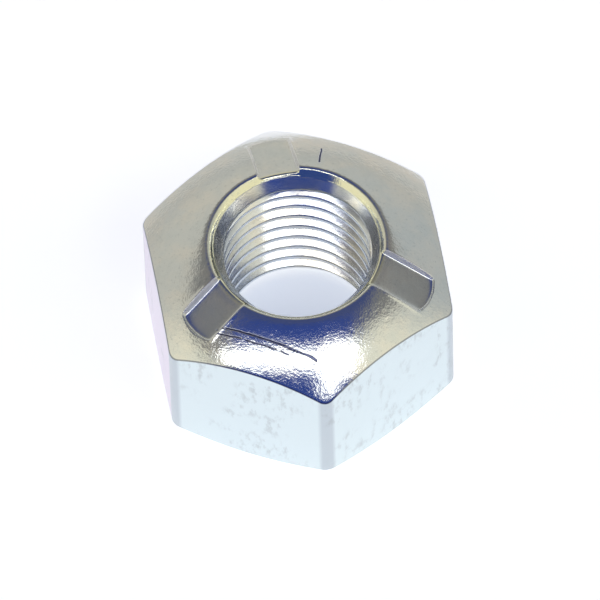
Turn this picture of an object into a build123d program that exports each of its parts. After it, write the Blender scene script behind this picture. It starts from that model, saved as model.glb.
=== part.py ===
"""All-metal prevailing-torque hexagon nut with a domed crown and three pressed notches.

One solid, turned from hexagon bar. Millimetres, +Z up, origin on the axis at the bearing face.
"""
import os
from math import cos, radians, sin, sqrt, tan

from build123d import *

# Thread, 7/16-20 UNF. The bore is left at the thread's minor diameter.
THREAD_MAJOR_D = 11.1125
THREAD_PITCH = 25.4 / 20
THREAD_MINOR_D = THREAD_MAJOR_D - 1.082532 * THREAD_PITCH

# Hexagon bar
SIDES = 6
ACROSS_FLATS = 19.05
CORNER_ROUND = 0.9

# Turned ends
HEIGHT = 12.6              # to the sharp rim, where the crown would meet the lead-in
CROWN_SPHERE_R = 16.0      # the crown is part of a sphere centred on the axis
RIM_ROUND = 0.35
BEARING_D = 17.5
BASE_CHAMFER_ANGLE = 28.0  # between the base chamfer and the bearing face

# Conical lead-ins at both ends of the thread
LEAD_IN_D = THREAD_MAJOR_D + 0.6
LEAD_IN_TOP_DEPTH = 1.55
LEAD_IN_BASE_DEPTH = 1.7

# Notches pressed radially into the crown, one above every second corner of the hexagon
NOTCHES = SIDES // 2
NOTCH_WIDTH = 2.7
NOTCH_REACH = 9.4          # from the axis to the notch's outer end
NOTCH_END_R = 3.2          # radius of the bowed outer end
NOTCH_DEPTH = 0.6          # of the floor below the sharp rim
NOTCH_SLOPE = 27.0         # fall of the floor towards the outside
NOTCH_FLOOR_ROUND = 0.18

# The notches squeeze the last turns of the thread towards the axis, which makes the nut lock
SQUEEZE = 0.12
SQUEEZE_LENGTH = 3.0

CUT_CLEAR = 1.0            # how far a cutter runs past the metal

bore_r = THREAD_MINOR_D / 2
lead_in_r = LEAD_IN_D / 2
pilot_r = bore_r - 2 * SQUEEZE
crown_centre_z = HEIGHT - sqrt(CROWN_SPHERE_R**2 - lead_in_r**2)
thread_top_z = HEIGHT - LEAD_IN_TOP_DEPTH


def polar(radius, degrees):
    """A point at a radius and an azimuth from +X."""
    return (radius * cos(radians(degrees)), radius * sin(radians(degrees)))


def crown_z(radius):
    """Height of the crown's sphere at a distance from the axis."""
    return crown_centre_z + sqrt(CROWN_SPHERE_R**2 - radius**2)


def lead_in_drop(depth):
    """Axial length of a lead-in cone from its mouth to the pilot hole."""
    return depth * (lead_in_r - pilot_r) / (lead_in_r - bore_r)


def hexagon_bar():
    """The bar with its drawn, rounded corners. One corner lies on +X."""
    section = RegularPolygon(ACROSS_FLATS / 2, SIDES, major_radius=False)
    section = fillet(section.vertices(), CORNER_ROUND)
    return extrude(section, HEIGHT + CUT_CLEAR)


def turned_blank():
    """What the lathe leaves: bearing face, base chamfer, crown, rim, lead-ins and pilot hole."""
    outer_r = ACROSS_FLATS / 2 / cos(radians(180 / SIDES)) + CUT_CLEAR
    middle_r = (outer_r + lead_in_r) / 2
    rim = (lead_in_r, HEIGHT)
    crown_edge = (outer_r, crown_z(outer_r))
    chamfer_top = (outer_r, (outer_r - BEARING_D / 2) * tan(radians(BASE_CHAMFER_ANGLE)))

    straights = Polyline(
        rim,
        (pilot_r, HEIGHT - lead_in_drop(LEAD_IN_TOP_DEPTH)),
        (pilot_r, lead_in_drop(LEAD_IN_BASE_DEPTH)),
        (lead_in_r, 0),
        (BEARING_D / 2, 0),
        chamfer_top,
        crown_edge,
    )
    crown = ThreePointArc(crown_edge, (middle_r, crown_z(middle_r)), rim)
    half_section = make_face(straights + crown)
    half_section = fillet(half_section.vertices().sort_by(Axis.Y)[-1], RIM_ROUND)
    return revolve(Plane.XZ * half_section, Axis.Z)


def bore_section(squeeze, z):
    """The bore at a height: one arc below each notch, flattened towards the axis by the squeeze."""
    half_turn = 180 / NOTCHES
    arcs = Curve()
    for i in range(NOTCHES):
        azimuth = 2 * half_turn * i
        arcs += ThreePointArc(
            polar(bore_r, azimuth - half_turn),
            polar(bore_r - squeeze, azimuth),
            polar(bore_r, azimuth + half_turn),
        )
    return Pos(0, 0, z) * make_face(arcs)


def bore():
    """Round up to the locking zone, then drawn in below the notches."""
    round_end_z = thread_top_z - SQUEEZE_LENGTH
    round_part = extrude(bore_section(0, -CUT_CLEAR), CUT_CLEAR + round_end_z)
    squeezed_part = loft([bore_section(0, round_end_z), bore_section(SQUEEZE, thread_top_z)])
    mouth = extrude(bore_section(SQUEEZE, thread_top_z), LEAD_IN_TOP_DEPTH + CUT_CLEAR)
    return round_part + squeezed_part + mouth


def notch_tool():
    """The press tool of one notch, standing on the notch's sloping floor."""
    slope = radians(NOTCH_SLOPE)
    reach = (NOTCH_REACH - lead_in_r) / cos(slope)
    inner_end = -(lead_in_r - bore_r) / cos(slope)
    half_width = NOTCH_WIDTH / 2
    shoulder = reach - NOTCH_END_R + sqrt(NOTCH_END_R**2 - half_width**2)
    straights = Polyline(
        (shoulder, half_width),
        (inner_end, half_width),
        (inner_end, -half_width),
        (shoulder, -half_width),
    )
    bowed_end = ThreePointArc((shoulder, -half_width), (reach, 0), (shoulder, half_width))
    tool = extrude(make_face(straights + bowed_end), NOTCH_DEPTH + CUT_CLEAR)
    tool = fillet(tool.edges().group_by(Axis.Z)[0], NOTCH_FLOOR_ROUND)
    floor = Plane(
        origin=(lead_in_r, 0, HEIGHT - NOTCH_DEPTH),
        x_dir=(cos(slope), 0, -sin(slope)),
        z_dir=(sin(slope), 0, cos(slope)),
    )
    return floor * tool


def lock_nut():
    """The finished nut: the bar between the turned faces, bored, then notched."""
    nut = (hexagon_bar() & turned_blank()) - bore()
    tool = notch_tool()
    for i in range(NOTCHES):
        nut -= Rotation(0, 0, 360 / NOTCHES * i) * tool
    return nut


os.makedirs("parts", exist_ok=True)
export_step(lock_nut(), "parts/lock_nut.step")
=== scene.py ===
"""The look of a zinc-plated prevailing-torque lock nut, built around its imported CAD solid.

The nut is one piece. Its mesh is one closed surface: rings that follow the hexagon, the domed
crown, the three pressed notches and the screw thread. Its main sizes are those of the CAD source.
The thread, the softer rim and the uneven press work are found only here.
"""
import math

import bpy
import numpy as np
from mathutils import Matrix, Vector


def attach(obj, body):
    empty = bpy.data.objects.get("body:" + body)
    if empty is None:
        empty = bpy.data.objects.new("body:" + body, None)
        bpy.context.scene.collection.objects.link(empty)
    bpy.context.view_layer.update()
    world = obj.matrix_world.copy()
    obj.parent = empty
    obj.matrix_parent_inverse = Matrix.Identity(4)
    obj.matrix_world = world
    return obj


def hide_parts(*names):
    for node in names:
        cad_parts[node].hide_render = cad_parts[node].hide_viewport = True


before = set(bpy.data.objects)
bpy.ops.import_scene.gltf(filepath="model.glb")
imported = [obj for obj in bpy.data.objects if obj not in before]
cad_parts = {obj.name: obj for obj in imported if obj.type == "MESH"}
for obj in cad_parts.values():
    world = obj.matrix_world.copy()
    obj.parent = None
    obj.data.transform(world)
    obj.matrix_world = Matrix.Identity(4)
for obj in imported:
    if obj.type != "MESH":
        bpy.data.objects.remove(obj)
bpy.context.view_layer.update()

MM = 0.001  # metres in a millimetre
FULL_TURN = 2 * math.pi

# The nut's sizes in millimetres, as in the CAD source. HEIGHT is to the sharp rim.
THREAD_MAJOR_D = 11.1125
THREAD_PITCH = 25.4 / 20
ACROSS_FLATS = 19.05
CORNER_ROUND = 0.9
HEIGHT = 12.6
CROWN_R = 16.0
BEARING_D = 17.5
BASE_CHAMFER_ANGLE = 28.0
LEAD_IN_D = THREAD_MAJOR_D + 0.6
LEAD_IN_TOP_DEPTH = 1.55
LEAD_IN_BASE_DEPTH = 1.7
NOTCH_WIDTH = 2.7
NOTCH_END_R = 3.2
SQUEEZE = 0.12
SQUEEZE_LENGTH = 3.0

# Sizes that follow from those.
MAJOR_R = THREAD_MAJOR_D / 2
MINOR_R = MAJOR_R - 1.082532 * THREAD_PITCH / 2
APOTHEM = ACROSS_FLATS / 2
BEARING_R = BEARING_D / 2
CHAMFER_SLOPE = math.tan(math.radians(BASE_CHAMFER_ANGLE))
LEAD_IN_R = LEAD_IN_D / 2
LEAD_IN_WIDTH = LEAD_IN_R - MINOR_R
CROWN_CENTRE_Z = HEIGHT - math.sqrt(CROWN_R ** 2 - LEAD_IN_R ** 2)
HALF_SIDE_ANGLE = math.radians(30)
SIDE_ANGLE = math.radians(60)

# The rim between the crown and the lead-in, softer than the solid's.
RIM_SOFTNESS = 0.36
RIM_OUT_R = 6.6
LEAD_IN_STOP_R = 5.53

# The three notches were pressed one by one: angle in degrees, reach, depth and floor slope.
NOTCHES = ((0.0, 9.4, 0.56, 24.5), (122.0, 9.4, 0.5, 21.5), (240.0, 8.95, 0.58, 25.5))
NOTCH_SPACING = 120.0    # degrees between notches that were pressed true
NO_TOOL_Z = 99.0
SIDE_STEEPNESS = 9.0     # rise of the notch's side walls for a step outward
SIDE_FOOT = 0.05
END_STEEPNESS = 4.0      # the same for its outer end
END_FOOT = 0.10
EDGE_SHARP = 0.05        # how softly a notch's edge meets the crown
EDGE_EXTRA = 0.13        # and how much more softly it meets the rim
EDGE_RANGE = (5.9, 6.4)  # radii between which that changes

# The lip that the press raised beside each notch.
LIP_OFFSET = 0.16
LIP_HALF_WIDTH = 0.08
LIP_HEIGHT = 0.03
LIP_START = (6.3, 7.0)
LIP_FADE = 0.6

# Where the material's zones begin and end.
WALL_OUTER = (-0.14, -0.09)  # distance inward from the notch's side
WALL_INNER = (0.03, 0.08)
WALL_START_R = 5.7
WALL_END_GAP = 0.1
CONE_RANGE = (5.7, 6.0)      # radii between which the lead-in becomes the crown
CUT_MARGIN = 0.10
CUT_FADE = 0.08
CORNER_INSIDE = math.radians(2.0)
CORNER_OUTSIDE = math.radians(2.9)

# The thread's form, in shares of its pitch from the middle of the groove.
THREAD_PHASE = 0.05
GROOVE_FLOOR_HALF = 0.0625
GROOVE_MOUTH_HALF = 0.5 - 0.125
GROOVE_FLOOR_SOFT = 0.08
GROOVE_MOUTH_SOFT = 0.10
LEAD_IN_SOFT = 0.03
SQUEEZE_TOP_Z = HEIGHT - 1.0
# The press closed the groove over the first turn, between these heights.
GROOVE_CLOSES = (10.85, 11.3)

# The mesh's columns in degrees from a notch, where they stand at COLUMN_R: close together along
# the notch's wall and at the hexagon's next corner.
COLUMN_R = 9.4
COLUMNS_IN_NOTCH = [0.0, 0.6, 1.2, 1.8, 2.4, 3.2, 4.1, 5.0, 5.8, 6.5, 7.0, 7.4, 7.7, 7.9]
COLUMNS_AT_WALL = [8.04, 8.15, 8.26, 8.38, 8.52, 8.7, 8.95, 9.3, 9.75, 10.4]
COLUMNS_BETWEEN = list(np.linspace(11.2, 56.8, 46))
COLUMNS_AT_CORNER = [57.6, 58.2, 58.8, 59.4]
BEND_FULL = math.radians(12.0)
BEND_NONE = math.radians(55.0)
BEND_LIMIT = 0.95
BEND_HEIGHTS = (8.5, 10.8)   # over these the thread's columns take up the notches' bend
BEND_ROUNDS = 3              # repeats that settle a column's angle and radius on each other

# The mesh's rings, from the base up and over the crown into the hole.
BASE_LEAD_IN_HEIGHTS = (0.36, 0.18, 0.03)
BEARING_RADII = (LEAD_IN_R + 0.03, 6.0, 7.3, BEARING_R - 0.06, BEARING_R - 0.02)
CHAMFER_SHARES = (0.02, 0.5, 0.92, 0.98)
FLAT_SHARES = (0.0, 0.012, 0.2, 0.4, 0.6, 0.8, 0.985, 1.0)
FLAT_FOOT = 0.03
EDGE_EASE = 0.06
# The eased upper edge: distance in from the flat, distance below the crown, share of flat.
EASED_RINGS = ((0.015, 0.032, 0.6), (EDGE_EASE, 0.012, 0.35))
CROWN_SHARES = np.concatenate([
    np.linspace(0.992, 0.745, 10), np.linspace(0.73, 0.60, 15), np.linspace(0.58, 0.0, 16),
])
RIM_RADII = np.linspace(RIM_OUT_R - 0.07, LEAD_IN_STOP_R, 19)

# The thread's rows lie between two level rings, at these heights and never closer than ROW_GAP.
THREAD_TOP_Z = 12.05
THREAD_LOW_Z = 0.5
ROW_GAP = 0.03
# Where a pitch's rows lie, as shares of the pitch: closer at the crest's and the root's edges.
ROW_SHARES = (0.0, 0.08, 0.12, 0.16, 0.26, 0.36, 0.43, 0.47, 0.53, 0.57, 0.64, 0.74, 0.84, 0.88, 0.92)

ZONES = ("flat", "corner", "cut", "wall", "cone", "thread")

# The plate's colours.
FILM_COOL = (0.79, 0.82, 0.82, 1.0)
FILM_WARM = (0.86, 0.85, 0.81, 1.0)
THREAD_COOL = (0.84, 0.88, 0.92, 1.0)
THREAD_WARM = (0.92, 0.88, 0.78, 1.0)
FLAT_COLOUR = (0.77, 0.86, 0.87, 1.0)
# Painted reflection: the pink laid on the flats that face -X.
PINK_REFLECTION_COLOUR = (0.93, 0.76, 0.91, 1.0)
CORNER_DARK_COLOUR = (0.60, 0.66, 0.69, 1.0)
NICK_COLOUR = (0.95, 0.95, 0.93, 1.0)
# A strength and the colour it leads to.
BLOTCH_TINT = (0.35, (0.70, 0.75, 0.76, 1.0))
CONE_FILM_AND_BOUNCE_TINT = (0.9, (0.90, 0.89, 0.66, 1.0))
EDGE_SHADE_TINT = (0.75, (0.22, 0.24, 0.30, 1.0))
SCUFF_TINT = (0.42, (0.42, 0.45, 0.45, 1.0))
SPECK_TINT = (0.30, (0.52, 0.55, 0.57, 1.0))
MARK_SHADE_TINT = (0.93, (0.05, 0.06, 0.16, 1.0))
WALL_HIGHLIGHT_TINT = (0.9, (0.97, 0.97, 0.96, 1.0))
THREAD_TINT_STRENGTH = 0.8

# Random patches: scale per metre, detail, roughness, and the noise where they start and are full.
FILM_PATCHES = (420.0, 3.0, 0.6, 0.35, 0.68)
BLOTCH_PATCHES = (900.0, 4.0, 0.65, 0.42, 0.66)
WARM_PATCHES = (260.0, 2.0, 0.5, 0.45, 0.62)
SCUFF_PATCHES = (1900.0, 5.0, 0.65, 0.48, 0.68)
SCUFFED_AREAS = (330.0, 2.0, 0.5, 0.44, 0.60)
SPECK_PATCHES = (5200.0, 3.0, 0.6, 0.57, 0.70)
DASH_PATCHES = (1700.0, 2.0, 0.6, 0.36, 0.48)
SCUFF_STRETCH = (1.0, 1.0, 0.45)
# How far the surface faces along -X where the painted pink reflection starts and is full.
PINK_REFLECTION_RANGE = (-0.75, -0.95)

# Roughness of the plate, the patches in it, and what each zone adds.
POLISH = 0.085
PATCHY_POLISH = 0.09
POLISH_NOISE = (1500.0, 4.0, 0.6)
ZONE_ROUGHNESS = {"flat": 0.20, "cut": 0.08, "thread": 0.06, "wall": 0.40}

# Orange peel in three sizes: scale per metre, detail and roughness, then how strong it is.
PEEL = (
    ((2600.0, 3.0, 0.6), 0.75),
    ((8000.0, 2.0, 0.5), 0.42),
    ((800.0, 2.0, 0.5), 0.9),
)
PEEL_CALMED = 0.65
MARK_DEPTH = 2.5
PEEL_HEIGHT = 0.016 * MM

# Marks on the crown, in millimetres: start, end and half width.
SCRATCHES = (
    ((-3.0, -7.35), (4.1, -7.45), 0.085),
    ((-2.9, -7.75), (2.2, -7.78), 0.060),
)
CRACK = ((-1.19, 8.06), (-0.79, 6.6), 0.10)
NICK = ((7.4, -3.15), (7.62, -2.57), 0.08)
MARK_CORE = 0.4              # share of the half width that is at full strength
MARK_SHAKE = 0.22 * MM
MARK_SHAKE_SCALE = 1100.0

# The floor: white card that turns grey between two distances as a painted falloff of light, with a
# painted shadow under the hole.
FLOOR_HALF = 1.5
FLOOR_DROP = 0.01 * MM
FLOOR_GLOW = 0.67
CARD_NEAR = (0.91, 0.90, 0.89, 1.0)
CARD_FAR_PAINTED_DIM = (0.56, 0.54, 0.48, 1.0)
GLOW_NEAR = (0.935, 0.955, 1.0, 1.0)
GLOW_FAR_PAINTED_DIM = (0.55, 0.53, 0.47, 1.0)
GLOW_UNDER_PAINTED_SHADOW = (0.62, 0.68, 0.80, 1.0)
CARD_TURNS = (36 * MM, 52 * MM)
UNDER_HOLE = (4.9 * MM, 6.5 * MM)

# The camera stands at this bearing and height in degrees, and this far off in metres.
CAMERA_BEARING = -68.58
CAMERA_HEIGHT = 58.13
CAMERA_ROLL = 1.861
CAMERA_DISTANCE = 0.9525
CAMERA_LENS = 855.12         # millimetres, on a sensor this wide
CAMERA_SENSOR = 36.0
CAMERA_PITCH = 0.0029708111  # radians, above the nut's foot
CAMERA_YAW = 0.0000147348
CAMERA_CLIP = (0.05, 5.0)

# The room, seen from the nut: x to the camera's right, y away from the camera, z up, for a
# direction of length 1. A pair is where one part starts to turn into the next and where it ends.
ROOM_TURN = math.radians(CAMERA_BEARING + 90.0)
LEVEL = 0.02                 # the least height or depth that anything is divided by
WALL_WARM = (0.575, 0.56, 0.50, 1.0)
WALL_COOL = (0.47, 0.49, 0.485, 1.0)
WALL_LOW = (0.52, 0.51, 0.47, 1.0)
WALL_FRONT = (0.86, 0.83, 0.68, 1.0)
CEILING = (0.215, 0.21, 0.20, 1.0)
ZENITH = (0.06, 0.08, 0.20, 1.0)
CANOPY = (0.030, 0.062, 0.28, 1.0)
COOL_SIDE_X = (-0.3, 0.9)
LOW_WALL_Z = (0.05, 0.25)
FRONT_Y = (-0.30, 0.30)
CEILING_Z = (0.57, 0.68)
CEILING_LIFT = 0.20
LIFTED_Y = (-0.25, 0.20)
LIFTED_X = (0.2, 0.5)
ZENITH_Z = (0.78, 0.92)
CANOPY_PITCH = 0.68
CANOPY_LEFT = (-1.15, -0.90)
CANOPY_RIGHT = (0.66, 0.82)
CANOPY_NEAR = (0.05, 0.20)
CANOPY_FOOT_Z = (-0.02, 0.04)

# The lamps, on a level plane one unit above the nut: their spans in x and y and their soft edges.
LAMP = 2.6
LAMP_COLOUR = (LAMP, LAMP, LAMP * 0.98, 1.0)
LAMP_BAR = ((-0.90, 0.40), (-0.66, -0.44), 0.02)
LAMP_PANEL = ((0.24, 0.60), (-0.84, -0.42), 0.03)
LAMP_ARM = ((0.24, 0.44), (-1.15, -0.80), 0.03)
LAMP_TILT = 0.07
LAMP_LEFT = 0.9
LAMP_LOWEST_Z = (0.3, 0.4)


def soft_max(a, b, width):
    """The larger of a and b, rounded where they cross."""
    return 0.5 * (a + b + np.sqrt((a - b) ** 2 + width ** 2))


def soft_min(a, b, width):
    """The smaller of a and b, rounded where they cross."""
    return -soft_max(-a, -b, width)


def smooth_step(low, high, x):
    """Goes smoothly from 0 to 1 as x goes from low to high."""
    t = np.clip((x - low) / (high - low), 0.0, 1.0)
    return t * t * (3.0 - 2.0 * t)


def wrap(angle, period):
    """The angle brought to within half a period of zero."""
    return (angle + period / 2) % period - period / 2


def hexagon_radius(theta):
    """Distance from the axis to the rounded hexagon at an angle in radians."""
    psi = np.abs(wrap(theta, SIDE_ANGLE))
    flat = APOTHEM / np.cos(HALF_SIDE_ANGLE - psi)
    centre = (APOTHEM - CORNER_ROUND) / math.cos(HALF_SIDE_ANGLE)
    tangent = math.atan2(CORNER_ROUND * 0.5, centre + CORNER_ROUND * math.cos(HALF_SIDE_ANGLE))
    inside = np.maximum(CORNER_ROUND ** 2 - (centre * np.sin(psi)) ** 2, 0.0)
    corner = centre * np.cos(psi) + np.sqrt(inside)
    return np.where(psi < tangent, corner, flat)


def crown_z(r):
    """Height of the crown's sphere at a distance from the axis."""
    return CROWN_CENTRE_Z + np.sqrt(CROWN_R ** 2 - r ** 2)


def ring_angles():
    """Angles of the mesh's columns in radians, for three notches pressed true."""
    half = COLUMNS_IN_NOTCH + COLUMNS_AT_WALL + COLUMNS_BETWEEN + COLUMNS_AT_CORNER
    one = [-NOTCH_SPACING / 2] + [-a for a in reversed(half[1:])] + half
    degrees = [NOTCH_SPACING * k + a for k in range(len(NOTCHES)) for a in one]
    return np.radians(np.array(degrees))


def follow_notch(base, r):
    """Turns the columns so that beside a notch they run parallel to its walls."""
    out = np.zeros_like(r)
    for column_notch, notch in enumerate(NOTCHES):
        nominal = math.radians(NOTCH_SPACING * column_notch)
        shift = math.radians(notch[0]) - nominal
        phi = wrap(base - nominal, FULL_TURN)
        size = np.abs(phi)
        # A hair more than half the spacing, so that no column falls between two notches.
        mine = size <= math.radians(NOTCH_SPACING / 2 + 0.001)
        near = np.minimum(size, BEND_FULL)
        bent = np.arcsin(np.clip(COLUMN_R * np.sin(near) / r, -BEND_LIMIT, BEND_LIMIT)) - near
        fade = 1.0 - smooth_step(BEND_FULL, BEND_NONE, size)
        turned = np.sign(phi) * (size + bent * fade) + shift * fade
        out = np.where(mine, base + turned - phi, out)
    return out


def soft_rise(depth, softness):
    """0 inside a notch and growing outside it, rounded at the foot of the wall."""
    return 0.5 * (np.sqrt(depth ** 2 + softness ** 2) - depth)


def notch_floor(x, y):
    """The notch tools over a point: their lowest height, the lip beside them and their walls."""
    lowest = np.full_like(x, NO_TOOL_Z)
    lips = np.zeros_like(x)
    walls = np.zeros_like(x)
    for degrees, reach, deep, slope in NOTCHES:
        a = math.radians(degrees)
        along = x * math.cos(a) + y * math.sin(a)
        across = -x * math.sin(a) + y * math.cos(a)
        bow = np.sqrt(np.maximum(NOTCH_END_R ** 2 - across ** 2, 0.0))
        side_depth = NOTCH_WIDTH / 2 - np.abs(across)
        end_depth = reach - NOTCH_END_R + bow - along

        tool = HEIGHT - deep - math.tan(math.radians(slope)) * (along - LEAD_IN_R)
        tool = tool + SIDE_STEEPNESS * soft_rise(side_depth, SIDE_FOOT)
        tool = tool + END_STEEPNESS * soft_rise(end_depth, END_FOOT)
        lowest = np.minimum(lowest, np.where(along > 0, tool, NO_TOOL_Z))

        lip = np.exp(-((side_depth + LIP_OFFSET) / LIP_HALF_WIDTH) ** 2)
        beside = smooth_step(*LIP_START, along) * (1.0 - smooth_step(reach - LIP_FADE, reach, along))
        lips = np.maximum(lips, lip * beside)
        # The band along a notch's side walls, which later gets a painted highlight.
        wall = smooth_step(*WALL_OUTER, side_depth) * (1.0 - smooth_step(*WALL_INNER, side_depth))
        walls = np.maximum(walls, wall * (along > WALL_START_R) * (end_depth > WALL_END_GAP))
    return lowest, lips, walls


def squeeze_at(theta, z):
    """How far the thread is pushed inward behind the notches, over the top of the nut."""
    depth = smooth_step(SQUEEZE_TOP_Z - SQUEEZE_LENGTH, SQUEEZE_TOP_Z, z)
    lobe = 0.5 + 0.5 * np.cos(3.0 * theta)
    return SQUEEZE * depth * lobe


def thread_radius(theta, z):
    """Wall of the tapped hole: a right-hand 60 degree thread, rounded, cut by both lead-ins."""
    turn = (z / THREAD_PITCH - theta / FULL_TURN + THREAD_PHASE) % 1.0
    off_middle = np.abs(turn - 0.5)
    ramp = (GROOVE_MOUTH_HALF - off_middle) / (GROOVE_MOUTH_HALF - GROOVE_FLOOR_HALF)
    ramp = soft_min(ramp, np.ones_like(ramp), GROOVE_FLOOR_SOFT)
    ramp = soft_max(ramp, np.zeros_like(ramp), GROOVE_MOUTH_SOFT)
    open_part = 1.0 - smooth_step(*GROOVE_CLOSES, z)
    form = MINOR_R + (MAJOR_R - MINOR_R) * ramp * open_part
    form = form - squeeze_at(theta, z)
    top = LEAD_IN_R - LEAD_IN_WIDTH * (HEIGHT - z) / LEAD_IN_TOP_DEPTH
    base = LEAD_IN_R - LEAD_IN_WIDTH * z / LEAD_IN_BASE_DEPTH
    return soft_max(soft_max(form, top, LEAD_IN_SOFT), base, LEAD_IN_SOFT)


class NutMesh:
    """Gathers rings of points and the faces between them, and says which zone each point is in."""

    def __init__(self):
        self.points = []
        self.faces = []
        self.zones = []
        self.count = 0

    def add(self, theta, r, z, **zones):
        """Adds points and returns their numbers."""
        self.points.append(np.stack([r * np.cos(theta), r * np.sin(theta), z], axis=1))
        table = np.zeros((len(theta), len(ZONES)))
        for name, share in zones.items():
            table[:, ZONES.index(name)] = share
        self.zones.append(table)
        numbers = np.arange(self.count, self.count + len(theta))
        self.count += len(theta)
        return numbers

    def join(self, lower, upper):
        """Faces between two rings, which may share points."""
        n = len(lower)
        for i in range(n):
            j = (i + 1) % n
            self.face(lower[i], lower[j], upper[j], upper[i])

    def face(self, *corners):
        """One face. Corners that coincide count once, and fewer than three make no face."""
        kept = []
        for c in corners:
            if c not in kept:
                kept.append(int(c))
        if len(kept) >= 3:
            self.faces.append(kept)


def base_rings(nut, base):
    """Rings of the base lead-in's mouth, the bearing face and the chamfer."""
    rings = []
    one = np.ones_like(base)
    slope_in = LEAD_IN_WIDTH / LEAD_IN_BASE_DEPTH
    for z in BASE_LEAD_IN_HEIGHTS:
        rings.append(nut.add(base, (LEAD_IN_R - slope_in * z) * one, z * one))
    for r in BEARING_RADII:
        rings.append(nut.add(base, r * one, 0.0 * one))
    edge = hexagon_radius(base)
    for share in CHAMFER_SHARES:
        r = BEARING_R + (edge - BEARING_R) * share
        rings.append(nut.add(base, r, (r - BEARING_R) * CHAMFER_SLOPE))
    return rings


def side_rings(nut, base):
    """Rings up the six flats and round their upper edge, which runs in arcs under the crown."""
    rings = []
    edge = hexagon_radius(base)
    low = (edge - BEARING_R) * CHAMFER_SLOPE + FLAT_FOOT
    high = crown_z(edge) - EDGE_EASE
    off_corner = np.abs(wrap(base, SIDE_ANGLE))
    corner = 1.0 - smooth_step(CORNER_INSIDE, CORNER_OUTSIDE, off_corner)
    for share in FLAT_SHARES:
        rings.append(nut.add(base, edge, low + (high - low) * share, flat=1.0, corner=corner))
    for back, drop, share in EASED_RINGS:
        z = crown_z(edge - back) - drop
        rings.append(nut.add(base, edge - back, z, flat=share, corner=corner))
    return rings


def top_rings(nut, base):
    """Rings over the crown and the rim and a little way down the lead-in."""
    rings = []
    for share in CROWN_SHARES:
        theta = base
        for _ in range(BEND_ROUNDS):
            edge = hexagon_radius(theta) - EDGE_EASE
            r = RIM_OUT_R + (edge - RIM_OUT_R) * share
            theta = follow_notch(base, r)
        rings.append(carved_ring(nut, theta, r))
    for radius in RIM_RADII:
        r = np.full_like(base, radius)
        rings.append(carved_ring(nut, follow_notch(base, r), r))
    return rings


def carved_ring(nut, theta, r):
    """Adds a ring of the top: crown, rounded rim and lead-in, pressed down at the notches."""
    cone = HEIGHT - (LEAD_IN_R - r) * LEAD_IN_TOP_DEPTH / LEAD_IN_WIDTH
    tool, lip, wall = notch_floor(r * np.cos(theta), r * np.sin(theta))
    edge_softness = EDGE_SHARP + EDGE_EXTRA * (1.0 - smooth_step(*EDGE_RANGE, r))
    top = soft_min(crown_z(r) + LIP_HEIGHT * lip, cone, RIM_SOFTNESS)
    z = soft_min(top, tool, edge_softness)
    inner = 1.0 - smooth_step(*CONE_RANGE, r)
    cut = np.clip((z - tool + CUT_MARGIN) / CUT_FADE, 0.0, 1.0) * (1.0 - inner)
    return nut.add(theta, r, z, cut=cut, wall=wall, cone=inner)


def thread_columns(base, z):
    """The columns' angles in the tapped hole: straight below, bent with the notches at the top."""
    theta = base
    fade = smooth_step(*BEND_HEIGHTS, z)
    for _ in range(BEND_ROUNDS):
        r = thread_radius(theta, z)
        theta = base + (follow_notch(base, r) - base) * fade
    return theta


def level_ring(nut, base, height, **zones):
    """Adds a ring of the tapped wall at one height."""
    z = np.full_like(base, height)
    theta = thread_columns(base, z)
    return nut.add(theta, thread_radius(theta, z), z, **zones)


def between_rings(z):
    """Whether each height is clear of the level rings above and below the thread."""
    return (z < THREAD_TOP_Z - ROW_GAP) & (z > THREAD_LOW_Z + ROW_GAP)


def thread_row(nut, base, pitches, top, low):
    """Adds one row, which climbs one pitch in a turn, and gives the numbers of its points.

    Where the row would pass a level ring, that ring's own points stand for it.
    """
    offset = -THREAD_PHASE + base[0] / FULL_TURN
    z = (pitches + (base - base[0]) / FULL_TURN + offset) * THREAD_PITCH
    theta = thread_columns(base, np.clip(z, THREAD_LOW_Z, THREAD_TOP_Z))
    # The row keeps to the thread's own phase after the column has turned.
    z_row = z + (theta - base) / FULL_TURN * THREAD_PITCH
    inside = between_rings(z) & between_rings(z_row)
    r = thread_radius(theta, np.clip(z_row, THREAD_LOW_Z, THREAD_TOP_Z))
    numbers = np.where(z > 0.5 * (THREAD_TOP_Z + THREAD_LOW_Z), top, low)
    numbers[inside] = nut.add(theta[inside], r[inside], z_row[inside], thread=1.0)
    return numbers


def thread_rings(nut, base):
    """The tapped wall. Its rows climb with the thread, between a ring at the top and one below."""
    top = level_ring(nut, base, THREAD_TOP_Z, cone=1.0)
    low = level_ring(nut, base, THREAD_LOW_Z)
    per_pitch = len(ROW_SHARES)
    # Two pitches below the nut and three above it, so that every column is covered.
    first = -2 * per_pitch
    last = int((THREAD_TOP_Z / THREAD_PITCH + 3) * per_pitch)
    rows = {}
    for row in range(first, last + 1):
        pitches = row // per_pitch + ROW_SHARES[row % per_pitch]
        rows[row] = thread_row(nut, base, pitches, top, low)
    for row in range(first, last):
        a, b = rows[row], rows[row + 1]
        for i in range(len(base) - 1):
            nut.face(b[i], b[i + 1], a[i + 1], a[i])
        if row + 1 + per_pitch <= last:
            # After one whole turn a row arrives one pitch higher, at the start of a later row.
            start_a, start_b = rows[row + per_pitch], rows[row + 1 + per_pitch]
            nut.face(b[-1], start_b[0], start_a[0], a[-1])
    return top, low


def nut_surface():
    """All the nut's points in metres, its faces, and each point's share of each zone."""
    base = ring_angles()
    nut = NutMesh()
    rings = base_rings(nut, base) + side_rings(nut, base) + top_rings(nut, base)
    for a, b in zip(rings, rings[1:]):
        nut.join(a, b)
    top, low = thread_rings(nut, base)
    nut.join(rings[-1], top)
    nut.join(low, rings[0])
    return np.concatenate(nut.points) * MM, nut.faces, np.concatenate(nut.zones)


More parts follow.
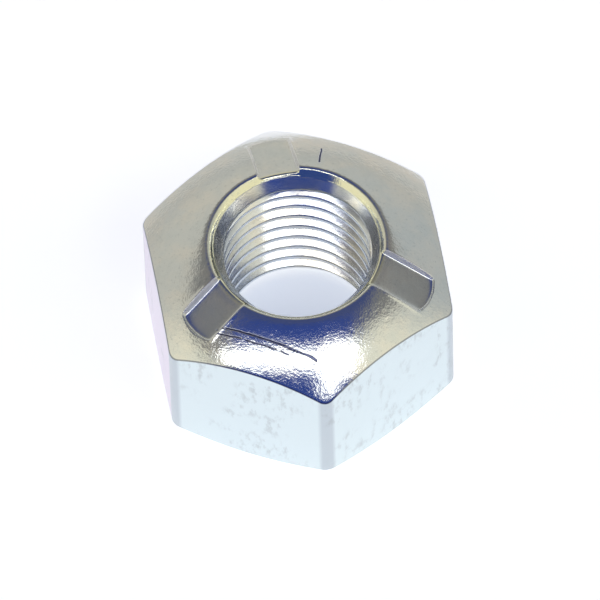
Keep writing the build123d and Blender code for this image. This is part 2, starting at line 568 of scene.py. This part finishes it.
def build_nut():
    """The nut as one object, with a point attribute for each zone of its material."""
    points, faces, zones = nut_surface()
    mesh = bpy.data.meshes.new("lock_nut_skin")
    mesh.from_pydata(points.tolist(), [], faces)
    mesh.validate(verbose=False)
    mesh.update()
    for column, name in enumerate(ZONES):
        store = mesh.attributes.new(name, "FLOAT", "POINT")
        store.data.foreach_set("value", zones[:, column].astype(np.float32))
    mesh.shade_smooth()
    set_area_normals(mesh)
    piece = bpy.data.objects.new("lock_nut_plated", mesh)
    bpy.context.scene.collection.objects.link(piece)
    return piece


def set_area_normals(mesh):
    """Point normals weighted by face area, so the wide faces stay flat beside their edges."""
    total = np.zeros((len(mesh.vertices), 3))
    for face in mesh.polygons:
        weighted = np.array(face.normal) * face.area
        for index in face.vertices:
            total[index] += weighted
    length = np.linalg.norm(total, axis=1, keepdims=True)
    total /= np.maximum(length, 1e-20)
    mesh.normals_split_custom_set_from_vertices(total.tolist())


class Nodes:
    """Short calls for building a node tree."""

    def __init__(self, tree):
        self.tree = tree
        tree.nodes.clear()

    def add(self, kind, **values):
        """A new node with its properties set."""
        node = self.tree.nodes.new(kind)
        for name, value in values.items():
            setattr(node, name, value)
        return node

    def link(self, source, target):
        self.tree.links.new(source, target)

    def feed(self, socket, value):
        """Links the socket to another socket, or sets it to a plain value."""
        if isinstance(value, bpy.types.NodeSocket):
            self.link(value, socket)
        elif value is not None:
            socket.default_value = value

    def math(self, operation, a, b, clamp=False):
        node = self.add("ShaderNodeMath", operation=operation, use_clamp=clamp)
        self.feed(node.inputs[0], a)
        self.feed(node.inputs[1], b)
        return node.outputs[0]

    def times(self, a, b):
        return self.math("MULTIPLY", a, b)

    def plus(self, a, b):
        return self.math("ADD", a, b)

    def larger(self, a, b):
        return self.math("MAXIMUM", a, b)

    def ratio(self, a, b):
        return self.math("DIVIDE", a, b)

    def outside(self, mask):
        """1 where the mask is 0, and 0 where it is 1."""
        return self.math("SUBTRACT", 1.0, mask)

    def vector(self, operation, a, b=None, scale=None):
        """A vector operation. It gives a number for a length or a product, and else a vector."""
        node = self.add("ShaderNodeVectorMath", operation=operation)
        self.feed(node.inputs[0], a)
        self.feed(node.inputs[1], b)
        if scale is not None:
            self.feed(node.inputs["Scale"], scale)
        gives_number = operation in ("LENGTH", "DISTANCE", "DOT_PRODUCT")
        return node.outputs["Value" if gives_number else "Vector"]

    def step(self, value, low, high, first=0.0, second=1.0):
        """Goes smoothly from first to second as value goes from low to high."""
        node = self.add("ShaderNodeMapRange", interpolation_type="SMOOTHSTEP")
        for socket, given in zip(node.inputs, (value, low, high, first, second)):
            self.feed(socket, given)
        return node.outputs[0]

    def rise(self, value, span):
        """0 before the span and 1 after it."""
        return self.step(value, *span)

    def fall(self, value, span):
        """1 before the span and 0 after it."""
        return self.step(value, *span, 1.0, 0.0)

    def noise(self, where, scale, detail=2.0, rough=0.5, output="Fac"):
        node = self.add("ShaderNodeTexNoise")
        self.feed(node.inputs["Vector"], where)
        self.feed(node.inputs["Scale"], scale)
        self.feed(node.inputs["Detail"], detail)
        self.feed(node.inputs["Roughness"], rough)
        return node.outputs[output]

    def patches(self, where, scale, detail, rough, low, high):
        """Random patches with soft edges."""
        return self.step(self.noise(where, scale, detail, rough), low, high)

    def mix(self, factor, a, b):
        """Colour a where the factor is 0 and colour b where it is 1."""
        node = self.add("ShaderNodeMix", data_type="RGBA")
        self.feed(node.inputs[0], factor)
        self.feed(node.inputs[6], a)
        self.feed(node.inputs[7], b)
        return node.outputs[2]

    def tint(self, colour, mask, strength, other):
        """The colour, led to another one by some strength where the mask is 1."""
        return self.mix(self.times(mask, strength), colour, other)

    def box_mask(self, x, y, x_range, y_range, soft):
        """1 inside a rectangle of the x, y plane, with soft edges."""
        left = self.rise(x, (x_range[0] - soft, x_range[0] + soft))
        right = self.fall(x, (x_range[1] - soft, x_range[1] + soft))
        low = self.rise(y, (y_range[0] - soft, y_range[0] + soft))
        high = self.fall(y, (y_range[1] - soft, y_range[1] + soft))
        return self.times(self.times(left, right), self.times(low, high))


def near_line(n, plan, start, end, width):
    """1 on a straight scratch, seen from above, between two points given in millimetres."""
    a = Vector((start[0], start[1], 0.0)) * MM
    b = Vector((end[0], end[1], 0.0)) * MM
    along = (b - a).normalized()
    offset = n.vector("SUBTRACT", plan, a)
    reach = n.larger(n.vector("DOT_PRODUCT", offset, along), 0.0)
    reach = n.math("MINIMUM", reach, (b - a).length)
    foot = n.vector("SCALE", along, scale=reach)
    gap = n.vector("DISTANCE", offset, foot)
    return n.fall(gap, (MARK_CORE * width * MM, width * MM))


def shaken_plan(n, where):
    """The point seen from above, moved a little at random so that straight marks waver."""
    shake = n.vector("SUBTRACT", n.noise(where, MARK_SHAKE_SCALE, output="Color"), (0.5, 0.5, 0.5))
    moved = n.vector("ADD", where, n.vector("SCALE", shake, scale=MARK_SHAKE))
    return n.vector("MULTIPLY", moved, (1.0, 1.0, 0.0))


def crown_marks(n, where, zones):
    """The marks on the crown: broken scratches, a short crack and a bright nick."""
    plan = shaken_plan(n, where)
    top_only = n.times(n.outside(zones["flat"]), n.outside(zones["cone"]))
    scratches = n.larger(near_line(n, plan, *SCRATCHES[0]), near_line(n, plan, *SCRATCHES[1]))
    scratches = n.times(n.times(scratches, n.patches(where, *DASH_PATCHES)), top_only)
    crack = n.times(near_line(n, plan, *CRACK), top_only)
    nick = n.times(near_line(n, plan, *NICK), top_only)
    return n.larger(scratches, crack), nick


def film_and_painted_light_colour(n, where, zones):
    """The film on the plate: a patchy tint, yellower in the hole's lead-in, partly the film's own
    yellow and partly painted warm bounce light; and a painted pink reflection on the flats that face
    -X.
    """
    colour = n.mix(n.patches(where, *FILM_PATCHES), FILM_COOL, FILM_WARM)
    colour = n.tint(colour, n.patches(where, *BLOTCH_PATCHES), *BLOTCH_TINT)
    # The lead-in is made yellower: partly the film's own yellow, partly painted warm bounce light.
    colour = n.tint(colour, zones["cone"], *CONE_FILM_AND_BOUNCE_TINT)
    thread_colour = n.mix(n.patches(where, *WARM_PATCHES), THREAD_COOL, THREAD_WARM)
    colour = n.tint(colour, zones["thread"], THREAD_TINT_STRENGTH, thread_colour)
    colour = n.mix(zones["flat"], colour, FLAT_COLOUR)
    # The flats that face -X carry a painted pink reflection, a tint set by which way they face.
    facing = n.add("ShaderNodeSeparateXYZ")
    n.link(n.add("ShaderNodeNewGeometry").outputs["Normal"], facing.inputs[0])
    painted_pink_reflection = n.times(zones["flat"], n.rise(facing.outputs["X"], PINK_REFLECTION_RANGE))
    return n.mix(painted_pink_reflection, colour, PINK_REFLECTION_COLOUR)


def wear_and_shade_colour(n, where, zones, colour):
    """Wear over the film, with painted shade: darker corners, a dark line of painted shade on the
    eased edges, scuffs on the flats, crown specks.
    """
    flat = zones["flat"]
    # The rounded corners of the flats are tinted a darker blue-grey.
    colour = n.mix(n.times(zones["corner"], flat), colour, CORNER_DARK_COLOUR)
    # The eased edge is neither all flat nor all crown: this is 1 halfway between the two.
    edge = n.times(n.times(flat, n.outside(flat)), 4.0)
    # Painted shade: a dark line laid along the eased edge where the crown meets the flats.
    colour = n.tint(colour, edge, *EDGE_SHADE_TINT)
    stretch = n.add("ShaderNodeMapping")
    n.link(where, stretch.inputs["Vector"])
    stretch.inputs["Scale"].default_value = SCUFF_STRETCH
    scuff = n.times(n.patches(stretch.outputs[0], *SCUFF_PATCHES), n.patches(where, *SCUFFED_AREAS))
    colour = n.tint(colour, n.times(scuff, flat), *SCUFF_TINT)
    specks = n.times(n.patches(where, *SPECK_PATCHES), n.outside(flat))
    return n.tint(colour, specks, *SPECK_TINT)


def plate_roughness(n, where, zones):
    """Polish of the plate: patchy, and duller where the nut is worn or was pressed."""
    rough = n.plus(POLISH, n.times(n.noise(where, *POLISH_NOISE), PATCHY_POLISH))
    for name, more in ZONE_ROUGHNESS.items():
        rough = n.plus(rough, n.times(zones[name], more))
    return rough


def plate_relief(n, where, zones, dark_marks):
    """Orange peel in three sizes, calmer in the notches and the thread, and the sunk marks."""
    medium, fine, wave = [n.times(n.noise(where, *layer), strength) for layer, strength in PEEL]
    height = n.plus(n.plus(medium, fine), wave)
    calm = n.outside(n.times(n.larger(zones["cut"], zones["thread"]), PEEL_CALMED))
    height = n.math("SUBTRACT", n.times(height, calm), n.times(dark_marks, MARK_DEPTH))
    bump = n.add("ShaderNodeBump")
    bump.inputs["Strength"].default_value = 1.0
    bump.inputs["Distance"].default_value = PEEL_HEIGHT
    n.link(height, bump.inputs["Height"])
    return bump.outputs[0]


def make_zinc():
    """Bright zinc plate: a faint film, scuffs and marks, and orange peel."""
    material = bpy.data.materials.new("zinc_plate")
    material.use_nodes = True
    n = Nodes(material.node_tree)
    out = n.add("ShaderNodeOutputMaterial")
    metal = n.add("ShaderNodeBsdfPrincipled")
    n.link(metal.outputs[0], out.inputs[0])
    metal.inputs["Metallic"].default_value = 1.0
    where = n.add("ShaderNodeTexCoord").outputs["Object"]
    zones = {name: n.add("ShaderNodeAttribute", attribute_name=name).outputs["Fac"] for name in ZONES}
    dark_marks, nick = crown_marks(n, where, zones)

    colour = wear_and_shade_colour(n, where, zones, film_and_painted_light_colour(n, where, zones))
    # The scratches and the crack are real marks, and their dark navy colour is painted shade and dark
    # reflection in them.
    colour = n.tint(colour, dark_marks, *MARK_SHADE_TINT)
    colour = n.mix(nick, colour, NICK_COLOUR)
    # Painted highlight: the notches' side walls are made near white, standing in for the lamp's
    # reflection.
    colour = n.tint(colour, zones["wall"], *WALL_HIGHLIGHT_TINT)
    n.link(colour, metal.inputs["Base Color"])
    n.link(plate_roughness(n, where, zones), metal.inputs["Roughness"])
    n.link(plate_relief(n, where, zones, dark_marks), metal.inputs["Normal"])
    return material


def make_card():
    """White card that turns to warm grey well away from the nut, a painted falloff of light."""
    material = bpy.data.materials.new("studio_card")
    material.use_nodes = True
    n = Nodes(material.node_tree)
    out = n.add("ShaderNodeOutputMaterial")
    away = n.vector("LENGTH", n.add("ShaderNodeTexCoord").outputs["Object"])
    # Painted falloff of light: the card turns grey away from the nut.
    far = n.rise(away, CARD_TURNS)
    diffuse = n.add("ShaderNodeBsdfDiffuse")
    n.link(n.mix(far, CARD_NEAR, CARD_FAR_PAINTED_DIM), diffuse.inputs[0])

    # The glow makes the card white to the camera and in the metal, and lights nothing else.
    path = n.add("ShaderNodeLightPath")
    seen = n.plus(path.outputs["Is Camera Ray"], path.outputs["Is Glossy Ray"])
    seen = n.math("ADD", seen, path.outputs["Is Transmission Ray"], clamp=True)
    # A painted shadow under the hole and the painted falloff far off dim the glow.
    shine = n.mix(n.fall(away, UNDER_HOLE), n.mix(far, GLOW_NEAR, GLOW_FAR_PAINTED_DIM), GLOW_UNDER_PAINTED_SHADOW)
    glow = n.add("ShaderNodeEmission")
    n.link(shine, glow.inputs["Color"])
    n.link(n.times(seen, FLOOR_GLOW), glow.inputs["Strength"])
    both = n.add("ShaderNodeAddShader")
    n.link(diffuse.outputs[0], both.inputs[0])
    n.link(glow.outputs[0], both.inputs[1])
    n.link(both.outputs[0], out.inputs[0])
    return material


def room_directions(n):
    """The direction of a ray in the room's own x, y and z."""
    turn = n.add("ShaderNodeVectorRotate", rotation_type="Z_AXIS")
    n.link(n.add("ShaderNodeTexCoord").outputs["Generated"], turn.inputs["Vector"])
    turn.inputs["Angle"].default_value = -ROOM_TURN
    split = n.add("ShaderNodeSeparateXYZ")
    n.link(turn.outputs[0], split.inputs[0])
    return split.outputs


def walls_and_ceiling(n, x, y, z):
    """Warm walls, cooler to the right and creamy on the camera's side, and a grey ceiling."""
    room = n.mix(n.rise(x, COOL_SIDE_X), WALL_WARM, WALL_COOL)
    room = n.mix(n.rise(z, LOW_WALL_Z), WALL_LOW, room)
    room = n.mix(n.fall(y, FRONT_Y), room, WALL_FRONT)
    # The ceiling begins at about 38 degrees, and higher up on the camera's right.
    lifted = n.times(n.fall(y, LIFTED_Y), n.rise(x, LIFTED_X))
    brow = n.math("SUBTRACT", z, n.times(lifted, CEILING_LIFT))
    room = n.mix(n.rise(brow, CEILING_Z), room, CEILING)
    return n.mix(n.rise(z, ZENITH_Z), room, ZENITH)


def canopy_mask(n, x, y, z):
    """The canopy on the camera's side, from the zenith down to the floor."""
    toward = n.times(y, -1.0)
    reach = n.larger(n.larger(toward, n.times(z, CANOPY_PITCH)), LEVEL)
    side = n.ratio(x, reach)
    beside = n.times(n.rise(side, CANOPY_LEFT), n.fall(side, CANOPY_RIGHT))
    near = n.times(n.rise(toward, CANOPY_NEAR), beside)
    return n.times(near, n.rise(z, CANOPY_FOOT_Z))


def lamp_mask(n, x, y, z):
    """One long lamp, a little tilted, with a panel and an arm at its right end."""
    up = n.larger(z, LEVEL)
    plan_x = n.ratio(x, up)
    plan_y = n.ratio(y, up)
    tilted = n.plus(plan_y, n.times(n.plus(plan_x, LAMP_LEFT), LAMP_TILT))
    bar = n.box_mask(plan_x, tilted, *LAMP_BAR)
    panel = n.box_mask(plan_x, plan_y, *LAMP_PANEL)
    arm = n.box_mask(plan_x, plan_y, *LAMP_ARM)
    return n.times(n.larger(n.larger(bar, panel), arm), n.rise(z, LAMP_LOWEST_Z))


def make_room():
    """The studio as the nut sees it: pale walls, a dark blue canopy and one long lamp in it."""
    world = bpy.data.worlds.new("studio_room")
    bpy.context.scene.world = world
    world.use_nodes = True
    n = Nodes(world.node_tree)
    out = n.add("ShaderNodeOutputWorld")
    back = n.add("ShaderNodeBackground")
    n.link(back.outputs[0], out.inputs[0])
    x, y, z = room_directions(n)
    room = walls_and_ceiling(n, x, y, z)
    room = n.mix(canopy_mask(n, x, y, z), room, CANOPY)
    room = n.mix(lamp_mask(n, x, y, z), room, LAMP_COLOUR)
    n.link(room, back.inputs[0])
    back.inputs[1].default_value = 1.0


def camera_turn(place):
    """The camera's rotation: it looks from its place to just above the nut's foot, rolled."""
    ahead = -place.normalized()
    right = ahead.cross(Vector((0, 0, 1))).normalized()
    up = right.cross(ahead)
    roll = math.radians(CAMERA_ROLL)
    right_rolled = math.cos(roll) * right - math.sin(roll) * up
    up_rolled = math.sin(roll) * right + math.cos(roll) * up
    turned = Matrix((right_rolled, up_rolled, -ahead)).transposed()
    return turned @ Matrix.Rotation(CAMERA_PITCH, 3, "X") @ Matrix.Rotation(-CAMERA_YAW, 3, "Y")


def make_camera():
    """The camera at the photograph's bearing and height."""
    bearing = math.radians(CAMERA_BEARING)
    height = math.radians(CAMERA_HEIGHT)
    level = math.cos(height)
    direction = Vector((level * math.cos(bearing), level * math.sin(bearing), math.sin(height)))
    place = CAMERA_DISTANCE * direction
    data = bpy.data.cameras.new("studio_camera")
    data.lens = CAMERA_LENS
    data.sensor_width = CAMERA_SENSOR
    data.clip_start, data.clip_end = CAMERA_CLIP
    camera = bpy.data.objects.new("studio_camera", data)
    camera.matrix_world = Matrix.Translation(place) @ camera_turn(place).to_4x4()
    bpy.context.scene.collection.objects.link(camera)
    bpy.context.scene.camera = camera


def make_floor():
    """A level square of card under the nut."""
    mesh = bpy.data.meshes.new("studio_floor")
    corners = [(FLOOR_HALF * x, FLOOR_HALF * y, 0) for x, y in ((-1, -1), (1, -1), (1, 1), (-1, 1))]
    mesh.from_pydata(corners, [], [(0, 1, 2, 3)])
    floor = bpy.data.objects.new("studio_floor", mesh)
    bpy.context.scene.collection.objects.link(floor)
    floor.location.z = -FLOOR_DROP
    mesh.materials.append(make_card())
    return floor


make_camera()
make_room()
floor = make_floor()

nut = build_nut()
nut.data.materials.append(make_zinc())
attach(nut, "root")
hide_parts("lock_nut")

bpy.context.scene.view_settings.view_transform = "Standard"
